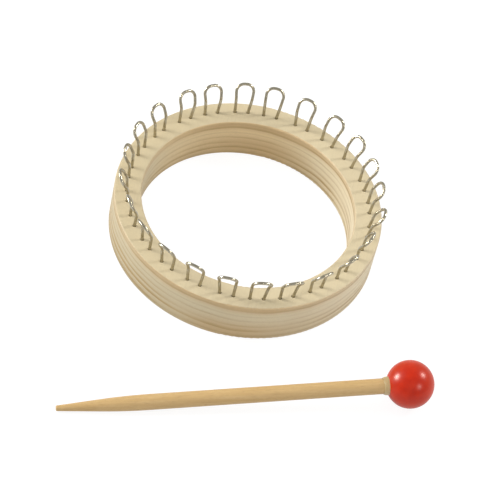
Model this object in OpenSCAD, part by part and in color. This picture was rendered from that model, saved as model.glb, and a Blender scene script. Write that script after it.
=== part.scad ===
// Round knitting loom: a turned wooden ring set with bent wire loops, and the wooden pick used with it.
// Millimetres, +Z up. The origin is on the ring's axis, on the table that the ring lies on.

/* [Ring] */
// Outside diameter of the ring
ring_d = 106; // [90:0.5:130]
// Width of the ring's rim, from the opening that the knitting hangs through to the outside
rim_w = 10.75; // [6:0.25:20]
// Height of the ring
ring_h = 18.5; // [14:0.5:30]
// Radius of the eased edges
edge_r = 0.6; // [0.3:0.1:1.2]

/* [Wire loops] */
// Number of loops round the ring
loop_count = 24; // [8:1:24]
// Diameter of the wire
wire_d = 1.2; // [0.8:0.1:1.6]
// Distance between the two legs of a loop where they leave the wood
foot_gap = 5.3; // [4.2:0.1:7]
// How far the loops stand outside the middle of the top face
loop_offset = 0.3; // [-1:0.1:1]
// How deep the legs are set in the wood
leg_depth = 9; // [5:0.5:11]
// Height of a leg from the wood to the fold
leg_h = 7.4; // [5:0.1:12]
// Height of the bow from the fold to the crown, along the bow
bow_h = 6.4; // [5.8:0.1:10]
// How far each leg spreads sideways, in degrees
leg_splay = 4.5; // [2:0.5:7]
// How far the legs lean outwards, in degrees
leg_lean = 3; // [0:0.5:8]
// How far the bow is folded outwards from the legs, in degrees
bow_fold = 27; // [10:1:45]
// Bend radius of the wire at the fold
fold_r = 5; // [1.5:0.1:6]
// Straight length left at the crown of the bow, beyond half the wire's width
crown_flat = 0.25; // [0.1:0.05:1]
// Room round a leg in its hole
hole_clearance = 0.15; // [0.05:0.05:0.3]

/* [Pick] */
// Diameter of the stick
stick_d = 6; // [4.5:0.1:8]
// Length of the stick outside the ball
stick_out = 126; // [90:1:180]
// Diameter of the blunt tip
tip_d = 2.1; // [1.2:0.1:3]
// Radius of the eased edge of the tip
tip_edge_r = 0.3; // [0.1:0.1:0.5]
// Length of the taper, from the tip to where its line meets the stick's full width
taper_l = 26; // [18:1:36]
// Length over which the taper is rounded into the stick
taper_blend = 18; // [6:1:24]
// Diameter of the ball
ball_d = 18.5; // [14:0.5:24]
// Width of the flat on the ball outside the glue
ball_flat_rim = 0.1; // [0.1:0.1:1]
// Depth of the socket in the ball
socket_depth = 10; // [6:0.5:11]
// Room round the stick in the socket
socket_clearance = 0.1; // [0.05:0.05:0.2]
// Thickness of the glue round the foot of the stick
glue_w = 0.5; // [0.3:0.1:0.8]
// Length of the glue along the stick
glue_l = 2; // [0.6:0.1:3]

/* [Place of the pick] */
// Distance of the ball to the right of the ring's axis
ball_x = 76.6; // [70:0.1:120]
// Distance of the ball in front of the ring's axis
ball_front = 60.5; // [60:0.5:120]
// How far the pick is turned on the table, in degrees
pick_turn = 20.4; // [0:0.1:25]

/* [Hidden] */
$fn = 48;
ring_r = ring_d / 2;
bore_d = ring_d - 2 * rim_w;
bore_r = bore_d / 2;
loop_r = (ring_r + bore_r) / 2 + loop_offset;
loop_step = 360 / loop_count;
hole_d = wire_d + 2 * hole_clearance;
// Swell of the wire where a bend meets a straight run, and how far short of it the run stops inside
joint_swell = 0.02;
joint_gap = 0.03;
joint_turn = 40;

// Bow of a loop, measured on the flat before it is folded
fold_x = foot_gap / 2 + leg_h * tan(leg_splay);
crown_x = fold_x + bow_h * tan(leg_splay);
crown_run = wire_d / 2 + crown_flat;
crown_r = (crown_x - crown_run / 2) / tan((90 + leg_splay) / 2);

// The loops are set and bent by hand: how far each is moved round the ring, leans outwards
// and leans sideways, in degrees
hand_set = [
    [1, 4, 0], [1, 0, 0], [0, 0, 1], [0, 1, 3], [0, -1, 4], [0, -1, -1],
    [1, -1, 0], [0, -1, 0], [0, -2, -1], [-1, -1, 4], [0, 2, 0], [0, 1, 0],
    [0, 0, 0], [0, 3, 0], [0, -2, 0], [0, -1, 3], [0, -1, 1], [0, -2, 0],
    [1, -2, 4], [0, -2, -2], [-1, 1, -2], [-1, 1, 0], [0, 1, 0], [1, -1, 1]
];

// Stick, along its own axis from the centre of the ball
stick_r = stick_d / 2;
tip_r = tip_d / 2;
ball_r = ball_d / 2;
socket_r = stick_r + socket_clearance;
flat_r = socket_r + glue_w + ball_flat_rim;
flat_dist = sqrt(pow(ball_r, 2) - pow(flat_r, 2));
stick_foot = flat_dist - socket_depth;
tip_dist = flat_dist + stick_out;
taper_angle = atan((stick_r - tip_r) / taper_l);
shoulder_dist = tip_dist - taper_l;
blend_start = shoulder_dist - taper_blend / 2;
blend_r = taper_blend / 2 / tan(taper_angle / 2);
blend_steps = 6;
edge_steps = 3;
glue_steps = 5;

// The pick lies on the ball and on the rounded shoulder of the taper
pick_tilt = acos((blend_r - ball_r) / norm([blend_r - stick_r, blend_start]))
    - atan(blend_start / (blend_r - stick_r));

function loop_name(i) = str("loop_", i < 10 ? "0" : "", i);
function unit(v) = v / norm(v);
function turn_angle(u, v) = acos(u * v);

// Turns that bring the upright axis round to a direction
function facing(way) = [0, acos(way.z / norm(way)), atan2(way.y, way.x)];

// What one loop has of its own
function hand(i) = hand_set[(i - 1) % len(hand_set)];

// Turns a point of a loop outwards by lean and sideways by side, about the middle of its feet
function leaned(p, lean, side) =
    let (x = p.x * cos(side) + p.z * sin(side), z = p.z * cos(side) - p.x * sin(side))
    [x, p.y * cos(lean) + z * sin(lean), z * cos(lean) - p.y * sin(lean)];

// Corners of one half of a loop above the wood, from the foot to the crown; x is along the rim, y outwards
function half_corners(way) = [
    [way * foot_gap / 2, 0, 0],
    [way * fold_x, 0, leg_h],
    [way * crown_x, bow_h * sin(bow_fold), leg_h + bow_h * cos(bow_fold)]
];

// The same corners with the loop's own lean
function hand_corners(i, way) = [for (p = half_corners(way)) leaned(p, leg_lean + hand(i)[1], hand(i)[2])];

// Foot of a leg on the floor of its hole
function leg_end(corner) = [corner.x, corner.y, -leg_depth];

// All the corners of a loop's wire, from one leg's end over the crown to the other's
function loop_corners(i) =
    let (right = hand_corners(i, 1), left = hand_corners(i, -1))
    [leg_end(right[0]), right[0], right[1], right[2], left[2], left[1], left[0], leg_end(left[0])];

// Bend radius at each of those corners; the wire only kinks where it leaves the wood
loop_bends = [0, 0, fold_r, crown_r, crown_r, fold_r, 0, 0];

// Length that a bend takes from the straight runs on both sides of a corner
function setback(points, radii, k) =
    k == 0 || k == len(points) - 1 ? 0 :
    radii[k] * tan(turn_angle(unit(points[k] - points[k - 1]), unit(points[k + 1] - points[k])) / 2);

// Straight run of wire between two points
module wire_run(from, to) {
    translate(from)
        rotate(facing(to - from))
            cylinder(d = wire_d, h = norm(to - from));
}

// Bend of wire that starts at a point along one direction and ends along another
module wire_bend(start, along, onward, radius) {
    inward = unit(onward - (along * onward) * along);
    centre = start + radius * inward;
    axis = cross(-inward, along);
    multmatrix([
        [-inward.x, along.x, axis.x, centre.x],
        [-inward.y, along.y, axis.y, centre.y],
        [-inward.z, along.z, axis.z, centre.z]
    ])
        rotate_extrude(angle = turn_angle(along, onward))
            translate([radius, 0])
                circle(d = wire_d);
}

// Ball that closes the wire where two lengths of it meet, with its poles along the wire and its seam
// turned away from theirs
module wire_joint(place, along) {
    translate(place)
        rotate(facing(along))
            rotate(joint_turn)
                sphere(d = wire_d + 2 * joint_swell);
}

// Wire bent through a list of corners, with a bend radius for each corner
module bent_wire(points, radii) {
    last = len(points) - 1;
    for (k = [0:last - 1]) {
        along = unit(points[k + 1] - points[k]);
        run_start = points[k] + along * setback(points, radii, k);
        run_end = points[k + 1] - along * setback(points, radii, k + 1);
        wire_run(
            run_start + along * (k > 0 ? joint_gap : 0),
            run_end - along * (k < last - 1 ? joint_gap : 0)
        );
        if (radii[k] > 0)
            wire_joint(run_start, along);
        if (k < last - 1)
            wire_joint(run_end, along);
        if (radii[k + 1] > 0)
            wire_bend(run_end, along, unit(points[k + 2] - points[k + 1]), radii[k + 1]);
    }
}

// Puts a child at a loop's place on the top face, with y outwards
module at_loop(i) {
    rotate([0, 0, (i - 1) * loop_step + hand(i)[0] - 90])
        translate([0, loop_r, ring_h])
            children();
}

// Cross-section of the ring with eased edges
module ring_section() {
    translate([bore_r, 0]) {
        translate([edge_r, 0])
            square([rim_w - 2 * edge_r, ring_h]);
        translate([0, edge_r])
            square([rim_w, ring_h - 2 * edge_r]);
        for (x = [edge_r, rim_w - edge_r], z = [edge_r, ring_h - edge_r])
            translate([x, z])
                circle(r = edge_r);
    }
}

// Holes for the two legs of a loop
module leg_holes(i) {
    for (way = [1, -1]) {
        foot = leg_end(hand_corners(i, way)[0]);
        translate(foot)
            cylinder(d = hole_d, h = leg_depth + edge_r);
    }
}

module ring() {
    color("BurlyWood")
        difference() {
            rotate_extrude($fn = 180) ring_section();
            for (i = [1:loop_count])
                at_loop(i) leg_holes(i);
        }
}

module loop(i) {
    color("Silver")
        at_loop(i) bent_wire(loop_corners(i), loop_bends);
}

// Puts a child made along the stick's axis, with the ball's centre at the origin and the tip up,
// where the pick lies on the table
module at_pick() {
    translate([ball_x, -ball_front, ball_r])
        rotate([0, 0, pick_turn])
            rotate([0, -90 - pick_tilt, 0])
                children();
}

module pick_stick() {
    blend = [
        for (s = [0:blend_steps])
            let (a = taper_angle * s / blend_steps)
            [stick_r - blend_r * (1 - cos(a)), blend_start + blend_r * sin(a)]
    ];
    tip = [
        for (s = [0:edge_steps])
            let (a = 90 * s / edge_steps)
            [tip_r - tip_edge_r * (1 - cos(a)), tip_dist - tip_edge_r * (1 - sin(a))]
    ];
    profile = concat([[0, stick_foot], [stick_r, stick_foot]], blend, tip, [[0, tip_dist]]);
    color("Tan")
        at_pick() rotate_extrude() polygon(profile);
}

module pick_ball() {
    color("OrangeRed")
        at_pick()
            difference() {
                sphere(d = ball_d, $fn = 96);
                translate([-ball_r, -ball_r, flat_dist])
                    cube([ball_d, ball_d, ball_r]);
                translate([0, 0, stick_foot])
                    cylinder(r = socket_r, h = socket_depth + ball_r);
            }
}

module glue_collar() {
    bead = [
        for (s = [0:glue_steps])
            let (a = 90 * s / glue_steps)
            [socket_r + glue_w * cos(a), glue_l * sin(a)]
    ];
    color("Ivory")
        at_pick()
            translate([0, 0, flat_dist])
                rotate_extrude() polygon(concat([[socket_r, 0]], bead));
}

ring();
for (i = [1:loop_count])
    loop(i);
pick_stick();
pick_ball();
glue_collar();
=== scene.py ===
import math

import bpy
import bmesh
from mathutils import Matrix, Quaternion, Vector

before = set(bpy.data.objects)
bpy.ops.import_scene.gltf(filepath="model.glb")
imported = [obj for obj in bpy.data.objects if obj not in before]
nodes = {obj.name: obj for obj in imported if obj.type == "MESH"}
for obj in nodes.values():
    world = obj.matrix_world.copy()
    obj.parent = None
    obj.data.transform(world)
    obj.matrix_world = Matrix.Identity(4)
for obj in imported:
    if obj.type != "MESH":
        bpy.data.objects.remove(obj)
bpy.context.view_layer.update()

loop_names = sorted(name for name in nodes if name.startswith("loop_"))
mm = 0.001

# The camera looks down on the loom from the front, rolled so that the ring leans to the right
aim = Vector((5.0, -7.55, 0.0)) * mm
camera_distance = 1.0251
camera_azimuth = 0.62
camera_elevation = 49.10
camera_roll = 14.06
camera_lens = 187.2

# Round soft lamps: direction from the loom, width and power
lamps = {
    "lamp_left": ((-0.94, 0.04, 0.34), 0.40, 7.8),
    "lamp_left_high": ((-0.70, 0.04, 0.70), 1.00, 8.4),
    "lamp_right_back": ((0.67, 0.40, 0.62), 0.32, 6.4),
    "lamp_right_front": ((0.69, -0.48, 0.54), 0.32, 1.4),
    "lamp_front": ((0.10, -0.80, 0.60), 1.20, 1.6),
}
lamp_distance = 1.5
# Lamps in front of them that show in gloss alone
gleams = {
    "gleam_left": ((-0.94, 0.04, 0.34), 0.40, 26.0),
    "gleam_right_back": ((0.67, 0.40, 0.62), 0.28, 10.0),
    "gleam_right_front": ((0.69, -0.48, 0.54), 0.26, 3.6),
}
gleam_distance = 1.3
gleam_colour = (1.0, 0.96, 0.89)
room_light = 0.55

# The floor: its width, the share of light it throws back at the loom, and its shade and glow where it is seen
floor_width = 12.0
floor_bounce = 0.6
floor_shade = 0.2
floor_glow = 0.88

# Growth rings of the ring's board, from the top down: height of the sharp lower edge in the middle of the
# board, how far the dark wood reaches up from it, and how dark it is
growth_rings = (
    (19.0, 1.4, 0.30),
    (17.2, 1.3, 0.30),
    (15.6, 1.5, 0.90),
    (12.7, 1.0, 0.40),
    (9.9, 1.3, 0.55),
    (6.8, 1.5, 0.65),
    (4.0, 1.6, 1.00),
    (1.1, 1.4, 0.85),
    (-1.8, 1.4, 0.60),
)
layer_low = -6.0
layer_high = 22.0
# The growth rings rise a little to the right and to the front, and wander up and down in long and short waves
layer_slope = 0.010
long_wave = 3.0
short_wave = 0.8
# The top face lies along one of them, so they hardly show on it
face_height = 18.5
# The golden tone at the back of the bore, partly painted light that brightens the bore's back wall, ends just
# outside the bore's wall
bore_edge = 43.0

# Colours of the ring's plain wood
wall_left = (0.555, 0.482, 0.31, 1)
# Paler wood on the right, lightened further as painted light
wall_right_pale_and_lit = (0.86, 0.755, 0.53, 1)
# Golden wood at the back of the bore, lightened as painted light
bore_back_golden_and_lit = (0.88, 0.69, 0.40, 1)
face_left = (0.61, 0.51, 0.315, 1)
face_right = (0.69, 0.585, 0.375, 1)
# Tones that lie over it
heart_tone = (0.63, 0.445, 0.225, 1)
late_tone = (0.44, 0.295, 0.12, 1)
# Painted shade along the lower edge, where the ring meets the floor
foot_shade_tone = (0.36, 0.265, 0.13, 1)
cloud_tone = (0.62, 0.47, 0.27, 1)
fibre_tone = (0.50, 0.41, 0.27, 1)
fleck_tone = (0.36, 0.24, 0.12, 1)

# Colours of the loops and the pick
wire_clean = (0.46, 0.425, 0.33, 1)
wire_tarnished = (0.35, 0.315, 0.23, 1)
stick_brown = (0.60, 0.39, 0.153, 1)
stick_pale = (0.65, 0.44, 0.192, 1)
stick_mottle = (0.58, 0.36, 0.15, 1)
stick_streak = (0.46, 0.29, 0.12, 1)
stick_fleck = (0.36, 0.21, 0.08, 1)
lacquer_red = (0.59, 0.022, 0.0, 1)
lacquer_deep = (0.52, 0.016, 0.0, 1)
# Painted sheen of the lacquer towards the ball's rim
painted_sheen_tone = (0.65, 0.085, 0.033, 1)
glue_deep = (0.52, 0.37, 0.16, 1)
glue_pale = (0.62, 0.46, 0.235, 1)

# Height of the relief on each surface, in millimetres
ring_relief = 0.08
wire_relief = 0.003
stick_relief = 0.05
lacquer_relief = 0.004
glue_relief = 0.3

# Where the stick lies, as the source places it
ball_centre = Vector((76.6, -60.5, 9.25))
pick_turn = 20.4


# Helpers for shader nodes

def add(tree, kind, inputs=None, **settings):
    """Adds a node, sets it up, and sets or joins its inputs."""
    node = tree.nodes.new(kind)
    for key, value in settings.items():
        setattr(node, key, value)
    for key, value in (inputs or {}).items():
        if isinstance(value, bpy.types.NodeSocket):
            tree.links.new(value, node.inputs[key])
        else:
            node.inputs[key].default_value = value
    return node


def reckon(tree, operation, first, second=0.0, third=0.0):
    """Adds a sum, and gives its result."""
    values = {0: first, 1: second, 2: third}
    return add(tree, "ShaderNodeMath", values, operation=operation).outputs[0]


def product(tree, first, *others):
    """Multiplies values."""
    for other in others:
        first = reckon(tree, "MULTIPLY", first, other)
    return first


def spread(tree, value, low, high, new_low=0.0, new_high=1.0):
    """Maps one range of a value to another, and clamps it."""
    limits = {"Value": value, "From Min": low, "From Max": high, "To Min": new_low, "To Max": new_high}
    return add(tree, "ShaderNodeMapRange", limits).outputs["Result"]


def blend(tree, share, first, second):
    """Mixes two colours."""
    node = add(tree, "ShaderNodeMix", data_type="RGBA", blend_type="MIX")
    for socket, value in zip((node.inputs[0], node.inputs[6], node.inputs[7]), (share, first, second)):
        if isinstance(value, bpy.types.NodeSocket):
            tree.links.new(value, socket)
        else:
            socket.default_value = value
    return node.outputs[2]


def noise(tree, place, scale, detail=2.0, rough=0.5):
    """Adds a noise with its middle at a half, and gives its value."""
    inputs = {"Vector": place, "Scale": scale, "Detail": detail, "Roughness": rough}
    return add(tree, "ShaderNodeTexNoise", inputs).outputs["Fac"]


def stretched(tree, place, scale):
    """Scales a place along each axis."""
    return add(tree, "ShaderNodeMapping", {"Vector": place, "Scale": scale}).outputs["Vector"]


def millimetres(tree):
    """The place on a piece in millimetres."""
    place = add(tree, "ShaderNodeTexCoord").outputs["Object"]
    return stretched(tree, place, (1 / mm, 1 / mm, 1 / mm))


def grey(level):
    """A grey of a given lightness."""
    return (level, level, level, 1)


def new_material(name):
    """A material with its tree and its one shader."""
    material = bpy.data.materials.new(name)
    material.use_nodes = True
    return material, material.node_tree, material.node_tree.nodes["Principled BSDF"]


def raise_surface(tree, shader, height, relief):
    """Lets a height show as relief on the surface."""
    bump = add(tree, "ShaderNodeBump", {"Height": height, "Distance": relief * mm, "Strength": 1.0})
    tree.links.new(bump.outputs["Normal"], shader.inputs["Normal"])


def fibre_group():
    """Fine wood fibres along the local Y axis, from a place in millimetres."""
    group = bpy.data.node_groups.new("wood_fibre", "ShaderNodeTree")
    group.interface.new_socket("Place", in_out="INPUT", socket_type="NodeSocketVector")
    group.interface.new_socket("Fineness", in_out="INPUT", socket_type="NodeSocketFloat")
    group.interface.new_socket("Streak", in_out="OUTPUT", socket_type="NodeSocketFloat")
    group.interface.new_socket("Fleck", in_out="OUTPUT", socket_type="NodeSocketFloat")
    enter = group.nodes.new("NodeGroupInput").outputs
    leave = group.nodes.new("NodeGroupOutput").inputs
    long_place = stretched(group, enter["Place"], (1.0, 0.05, 1.0))
    short_place = stretched(group, enter["Place"], (3.0, 0.3, 3.0))
    streak = noise(group, long_place, enter["Fineness"], 4.0, 0.6)
    fleck = spread(group, noise(group, short_place, 1.0), 0.60, 0.74)
    group.links.new(streak, leave["Streak"])
    group.links.new(fleck, leave["Fleck"])
    return group


def fibres(tree, group, place, fineness):
    """Adds the wood fibres to a material, and gives their streaks and flecks."""
    outputs = add(tree, "ShaderNodeGroup", {"Place": place, "Fineness": fineness}, node_tree=group).outputs
    return outputs["Streak"], outputs["Fleck"]


# The ring's wood

def growth_layer(tree, place, axes):
    """The layer of the board that a place lies in, as its height in the middle of the board."""
    layer = reckon(tree, "MULTIPLY_ADD", axes["X"], -layer_slope, axes["Z"])
    layer = reckon(tree, "MULTIPLY_ADD", axes["Y"], layer_slope, layer)
    waves = (((0.02, 0.012, 0.03), long_wave), ((0.12, 0.05, 0.2), short_wave))
    for scale, height in waves:
        wave = reckon(tree, "SUBTRACT", noise(tree, stretched(tree, place, scale), 1.0), 0.5)
        layer = reckon(tree, "MULTIPLY_ADD", wave, height, layer)
    return layer


def ring_spot(tree, place):
    """What the ring's wood goes by: where a place lies, and its layer of the board."""
    axes = add(tree, "ShaderNodeSeparateXYZ", {"Vector": place}).outputs
    return {
        "x": axes["X"],
        "z": axes["Z"],
        "sideways": reckon(tree, "ABSOLUTE", axes["X"]),
        "back": reckon(tree, "MAXIMUM", axes["Y"], 0.0),
        # Below nought at the front right and the back left, above it in the other two quarters
        "quarter": product(tree, axes["X"], axes["Y"]),
        # One on the walls and nought on the top face
        "wall": spread(tree, axes["Z"], face_height - 0.2, face_height - 0.01, 1.0, 0.0),
        "layer": growth_layer(tree, place, axes),
    }


def fill_growth_ramp(ramp):
    """Sets a ramp to the growth rings: each darkens slowly towards its lower edge and ends sharply there."""
    def share(height):
        return (height - layer_low) / (layer_high - layer_low)

    while len(ramp.elements) > 1:
        ramp.elements.remove(ramp.elements[-1])
    ramp.elements[0].position = 0.0
    ramp.elements[0].color = grey(0)
    for edge, reach, dark in growth_rings:
        for height, tone in ((edge - 0.15, 0.0), (edge + 0.1, dark), (edge + reach, 0.12 * dark)):
            ramp.elements.new(share(height)).color = grey(tone)


def late_wood(tree, place, spot):
    """Share of dark late wood: strong on the left and right, faint at the front right and on the top face."""
    ramp = add(tree, "ShaderNodeValToRGB", {"Fac": spread(tree, spot["layer"], layer_low, layer_high)})
    fill_growth_ramp(ramp.color_ramp)
    patches = noise(tree, stretched(tree, place, (0.04, 0.04, 0.3)), 1.0, 3.0)
    return product(
        tree,
        ramp.outputs["Color"],
        spread(tree, patches, 0.32, 0.62, 0.25, 1.0),
        spread(tree, spot["sideways"], 10.0, 48.0, 1.0, 2.2),
        spread(tree, spot["quarter"], -1200.0, -200.0, 0.45, 1.0),
        spread(tree, spot["wall"], 0.0, 1.0, 0.08, 1.0),
    )


def heart_wood(tree, spot):
    """Share of amber heartwood: the lower half of the walls, and a band under the top edge."""
    height = reckon(tree, "MULTIPLY_ADD", spot["back"], -0.06, spot["layer"])
    low = product(
        tree,
        spread(tree, height, 11.0, 5.0),
        spread(tree, spot["sideways"], 8.0, 40.0, 0.78, 0.10),
        spread(tree, spot["quarter"], 100.0, 900.0, 1.0, 0.40),
    )
    band = product(
        tree,
        spread(tree, spot["layer"], 13.8, 16.4),
        spread(tree, spot["sideways"], 20.0, 50.0, 0.85, 0.38),
    )
    return product(tree, reckon(tree, "MAXIMUM", low, band), spot["wall"])


def plain_wood(tree, spot):
    """Colour of the plain wood: darker on the left, paler on the right, golden at the back of the bore; the
    right side and the back of the bore are also lightened as painted light.
    """
    right = spread(tree, reckon(tree, "MULTIPLY_ADD", spot["z"], 1.6, spot["x"]), -46.0, 66.0)
    # The paler wood on the right also carries painted light
    walls = blend(tree, right, wall_left, wall_right_pale_and_lit)
    across = product(tree, spot["x"], spot["x"])
    radius = reckon(tree, "SQRT", reckon(tree, "MULTIPLY_ADD", spot["back"], spot["back"], across))
    bore = product(
        tree,
        spread(tree, spot["back"], 8.0, 38.0),
        spread(tree, radius, bore_edge, bore_edge + 1.0, 1.0, 0.0),
        spread(tree, spot["x"], 0.0, 22.0, 1.0, 0.1),
    )
    # Painted light: a paler golden tone brightens the back wall of the bore
    walls = blend(tree, bore, walls, bore_back_golden_and_lit)
    face = blend(tree, spread(tree, spot["x"], -50.0, 0.0), face_left, face_right)
    return blend(tree, spot["wall"], face, walls)


def painted_foot_shade(tree, spot):
    """Share of painted shade along the lower edge, where the ring stands on the floor, most of it on the
    left.
    """
    height = spread(tree, spot["z"], 0.8, 3.6, 1.0, 0.0)
    return product(tree, height, spread(tree, spot["x"], -45.0, -5.0, 0.6, 0.1))


def ring_wood(group):
    """Pale sanded softwood, sawn so that the growth rings run round the walls."""
    material, tree, shader = new_material("ring_softwood")
    place = millimetres(tree)
    spot = ring_spot(tree, place)
    late = late_wood(tree, place, spot)
    cloud = noise(tree, stretched(tree, place, (0.06, 0.03, 0.1)), 1.0, 3.0)
    streak, fleck = fibres(tree, group, place, 1.4)
    colour = plain_wood(tree, spot)
    colour = blend(tree, heart_wood(tree, spot), colour, heart_tone)
    colour = blend(tree, late, colour, late_tone)
    # Painted shade along the lower edge
    colour = blend(tree, painted_foot_shade(tree, spot), colour, foot_shade_tone)
    colour = blend(tree, spread(tree, cloud, 0.3, 0.7, 0.0, 0.15), colour, cloud_tone)
    colour = blend(tree, spread(tree, streak, 0.5, 0.75, 0.0, 0.18), colour, fibre_tone)
    colour = blend(tree, product(tree, fleck, 0.12), colour, fleck_tone)
    tree.links.new(colour, shader.inputs["Base Color"])
    tree.links.new(spread(tree, streak, 0.3, 0.7, 0.52, 0.70), shader.inputs["Roughness"])
    raise_surface(tree, shader, reckon(tree, "MULTIPLY_ADD", late, 0.6, streak), ring_relief)
    return material


# The other materials

def wire_metal():
    """Bright drawn wire with faint draw lines and a little tarnish."""
    material, tree, shader = new_material("bright_wire")
    place = millimetres(tree)
    tarnish = noise(tree, place, 0.9, 4.0, 0.6)
    scratch = noise(tree, stretched(tree, place, (7.0, 7.0, 0.8)), 1.0, 3.0, 0.6)
    colour = blend(tree, spread(tree, tarnish, 0.4, 0.7), wire_clean, wire_tarnished)
    tree.links.new(colour, shader.inputs["Base Color"])
    shader.inputs["Metallic"].default_value = 1.0
    tree.links.new(spread(tree, scratch, 0.3, 0.7, 0.22, 0.30), shader.inputs["Roughness"])
    raise_surface(tree, shader, scratch, wire_relief)
    return material


def along_stick(tree):
    """The place on the stick in millimetres, from the middle of the ball and with Y along the stick."""
    turn = (0, 0, math.radians(pick_turn + 90))
    inputs = {"Vector": millimetres(tree), "Location": ball_centre, "Rotation": turn}
    return add(tree, "ShaderNodeMapping", inputs, vector_type="TEXTURE").outputs["Vector"]


def stick_wood(group):
    """Smooth tan dowel with fine grain along its length."""
    material, tree, shader = new_material("stick_hardwood")
    place = along_stick(tree)
    bands = noise(tree, stretched(tree, place, (0.9, 0.012, 0.9)), 1.0)
    mottle = noise(tree, stretched(tree, place, (1.3, 0.5, 1.3)), 1.0, 3.0)
    streak, fleck = fibres(tree, group, place, 2.2)
    colour = blend(tree, spread(tree, bands, 0.35, 0.65), stick_brown, stick_pale)
    colour = blend(tree, spread(tree, mottle, 0.45, 0.75, 0.0, 0.6), colour, stick_mottle)
    colour = blend(tree, spread(tree, streak, 0.5, 0.8, 0.0, 0.4), colour, stick_streak)
    colour = blend(tree, product(tree, fleck, 0.35), colour, stick_fleck)
    tree.links.new(colour, shader.inputs["Base Color"])
    tree.links.new(spread(tree, streak, 0.3, 0.7, 0.38, 0.55), shader.inputs["Roughness"])
    raise_surface(tree, shader, streak, stick_relief)
    return material


def ball_lacquer():
    """Thick red lacquer, a little uneven, over a wooden ball, with a painted sheen that turns it paler and
    more orange towards its rim.
    """
    material, tree, shader = new_material("red_lacquer")
    place = millimetres(tree)
    uneven = noise(tree, place, 0.35, 3.0)
    skin = noise(tree, place, 1.2)
    # Painted sheen: paler, more orange lacquer towards the rim
    painted_sheen_facing = add(tree, "ShaderNodeLayerWeight", {"Blend": 0.4}).outputs["Facing"]
    colour = blend(tree, spread(tree, uneven, 0.35, 0.65), lacquer_red, lacquer_deep)
    colour = blend(tree, spread(tree, painted_sheen_facing, 0.10, 0.65, 0.0, 0.5), colour, painted_sheen_tone)
    tree.links.new(colour, shader.inputs["Base Color"])
    tree.links.new(spread(tree, skin, 0.3, 0.7, 0.28, 0.40), shader.inputs["Roughness"])
    shader.inputs["Specular IOR Level"].default_value = 0.0
    shader.inputs["Coat Weight"].default_value = 0.60
    shader.inputs["Coat Roughness"].default_value = 0.30
    raise_surface(tree, shader, skin, lacquer_relief)
    return material


def dried_glue():
    """Clear amber glue with a wet shine."""
    material, tree, shader = new_material("dried_glue")
    lumps = noise(tree, millimetres(tree), 1.5)
    tree.links.new(blend(tree, lumps, glue_deep, glue_pale), shader.inputs["Base Color"])
    tree.links.new(spread(tree, lumps, 0.3, 0.7, 0.06, 0.16), shader.inputs["Roughness"])
    raise_surface(tree, shader, lumps, glue_relief)
    return material


def dress(name, material):
    """Gives a node of the model its material."""
    slots = nodes[name].data.materials
    slots.clear()
    slots.append(material)


fibre = fibre_group()
wire = wire_metal()
dress("ring", ring_wood(fibre))
for name in loop_names:
    dress(name, wire)
dress("pick_stick", stick_wood(fibre))
dress("pick_ball", ball_lacquer())
dress("glue_collar", dried_glue())


# Floor, room, lamps and camera

def seen_directly(tree):
    """One for rays that come from the camera or by way of a mirror or glass, and nought for the rest."""
    path = add(tree, "ShaderNodeLightPath").outputs
    seen = reckon(tree, "MAXIMUM", path["Is Camera Ray"], path["Is Glossy Ray"])
    return reckon(tree, "MAXIMUM", seen, path["Is Transmission Ray"])


def floor_paper():
    """Paper that looks white, keeps a soft shadow and throws a plain share of light back at the loom."""
    material, tree, shader = new_material("floor_white")
    tree.nodes.remove(shader)
    plain = add(tree, "ShaderNodeBsdfDiffuse", {"Color": grey(floor_bounce)}).outputs[0]
    shade = add(tree, "ShaderNodeBsdfDiffuse", {"Color": grey(floor_shade)}).outputs[0]
    glow = add(tree, "ShaderNodeEmission", {"Color": grey(1), "Strength": floor_glow}).outputs[0]
    white = add(tree, "ShaderNodeAddShader", {0: shade, 1: glow}).outputs[0]
    mixed = add(tree, "ShaderNodeMixShader", {0: seen_directly(tree), 1: plain, 2: white}).outputs[0]
    tree.links.new(mixed, tree.nodes["Material Output"].inputs["Surface"])
    return material


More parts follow.
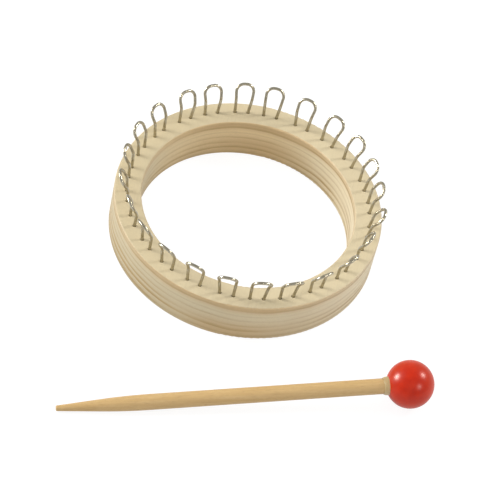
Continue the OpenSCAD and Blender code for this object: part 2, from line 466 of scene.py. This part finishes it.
def white_floor():
    """A wide flat floor under the loom."""
    shape = bmesh.new()
    bmesh.ops.create_grid(shape, x_segments=1, y_segments=1, size=floor_width / 2)
    mesh = bpy.data.meshes.new("floor")
    shape.to_mesh(mesh)
    shape.free()
    mesh.materials.append(floor_paper())
    floor = bpy.data.objects.new("floor", mesh)
    bpy.context.scene.collection.objects.link(floor)


def even_room():
    """Even room light round the floor."""
    world = bpy.data.worlds.new("room")
    bpy.context.scene.world = world
    world.use_nodes = True
    background = world.node_tree.nodes["Background"]
    background.inputs["Color"].default_value = grey(1)
    background.inputs["Strength"].default_value = room_light


def soft_lamp(name, direction, distance, width, power):
    """Adds a round soft lamp that faces the loom, and gives it."""
    light = bpy.data.lights.new(name, "AREA")
    light.shape = "DISK"
    light.size = width
    light.energy = power
    lamp = bpy.data.objects.new(name, light)
    way = Vector(direction).normalized()
    lamp.location = way * distance
    lamp.rotation_mode = "QUATERNION"
    lamp.rotation_quaternion = (-way).to_track_quat("-Z", "Y")
    bpy.context.scene.collection.objects.link(lamp)
    return lamp


def photo_camera():
    """The camera at the photo's angle."""
    azimuth = math.radians(camera_azimuth)
    elevation = math.radians(camera_elevation)
    back = Vector((
        math.sin(azimuth) * math.cos(elevation),
        -math.cos(azimuth) * math.cos(elevation),
        math.sin(elevation),
    ))
    camera = bpy.data.objects.new("camera", bpy.data.cameras.new("camera"))
    camera.data.lens = camera_lens
    camera.data.sensor_width = 36.0
    camera.data.clip_start = 0.05
    camera.location = aim + back * camera_distance
    camera.rotation_mode = "QUATERNION"
    roll = Quaternion((0, 0, 1), math.radians(camera_roll))
    camera.rotation_quaternion = (-back).to_track_quat("-Z", "Y") @ roll
    bpy.context.scene.collection.objects.link(camera)
    bpy.context.scene.camera = camera


white_floor()
even_room()
for name, (direction, width, power) in lamps.items():
    soft_lamp(name, direction, lamp_distance, width, power).visible_glossy = False
for name, (direction, width, power) in gleams.items():
    gleam = soft_lamp(name, direction, gleam_distance, width, power)
    gleam.data.color = gleam_colour
    gleam.visible_diffuse = False
photo_camera()
bpy.context.scene.view_settings.view_transform = "Standard"
